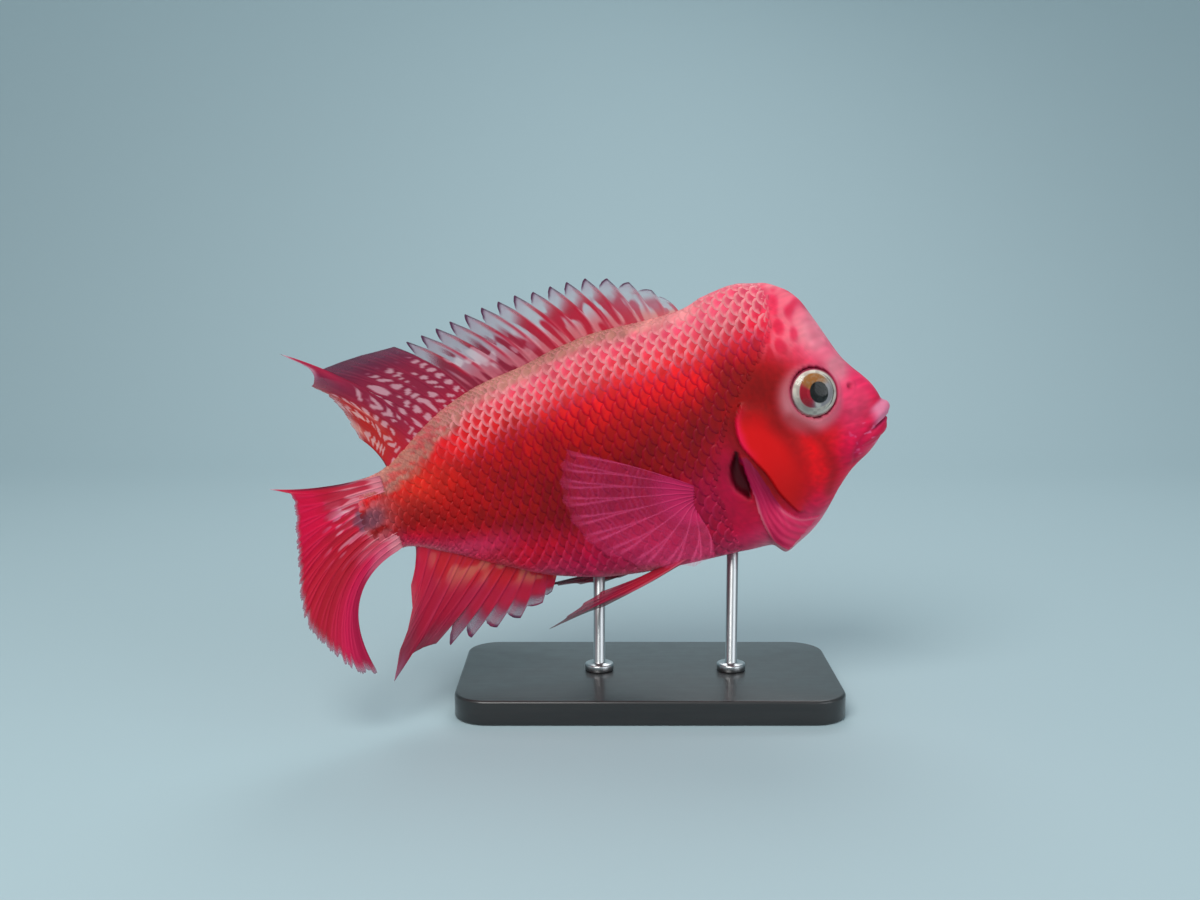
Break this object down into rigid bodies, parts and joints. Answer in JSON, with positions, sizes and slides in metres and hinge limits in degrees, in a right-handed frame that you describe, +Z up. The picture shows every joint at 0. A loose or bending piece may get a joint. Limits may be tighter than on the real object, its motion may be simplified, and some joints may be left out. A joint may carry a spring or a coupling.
{
  "type": "flowerhorn cichlid model",
  "caption": "Life-size still model of a red flowerhorn cichlid, curved as in a slow turn, fins spread, on a flat base with two short rods.",
  "frame": {"origin": "centre of the underside of the stand's base, on the surface that it stands on", "axes": "+X towards the fish's head, -Y on the fish's right side, +Z up"},
  "size_m": [0.2371, 0.1079, 0.1729],
  "materials": {
    "skin": "wet scaled skin, red with pink scale rims",
    "fin": "thin wet fin skin, red with clear edges",
    "eye": "clear cornea over a silver iris and a black pupil",
    "base": "satin black",
    "rod": "brushed"
  },
  "bodies": {
    "root": {"head": "skin", "nuchal_hump": "skin", "lower_jaw": "skin", "torso_front": "skin", "torso_rear": "skin", "caudal_peduncle": "skin", "gill_cover_right": "skin", "gill_cover_left": "skin", "gill_membrane_right": "skin", "gill_membrane_left": "skin", "eye_right": "eye", "eye_left": "eye", "dorsal_fin_spiny": "fin", "dorsal_fin_soft": "fin", "anal_fin": "fin", "caudal_fin": "fin", "pectoral_fin_right": "fin", "pectoral_fin_left": "fin", "pelvic_fin_right": "fin", "pelvic_fin_left": "fin", "stand_base": "base", "stand_rod_front": "rod", "stand_rod_rear": "rod"}
  },
  "joints": []
}
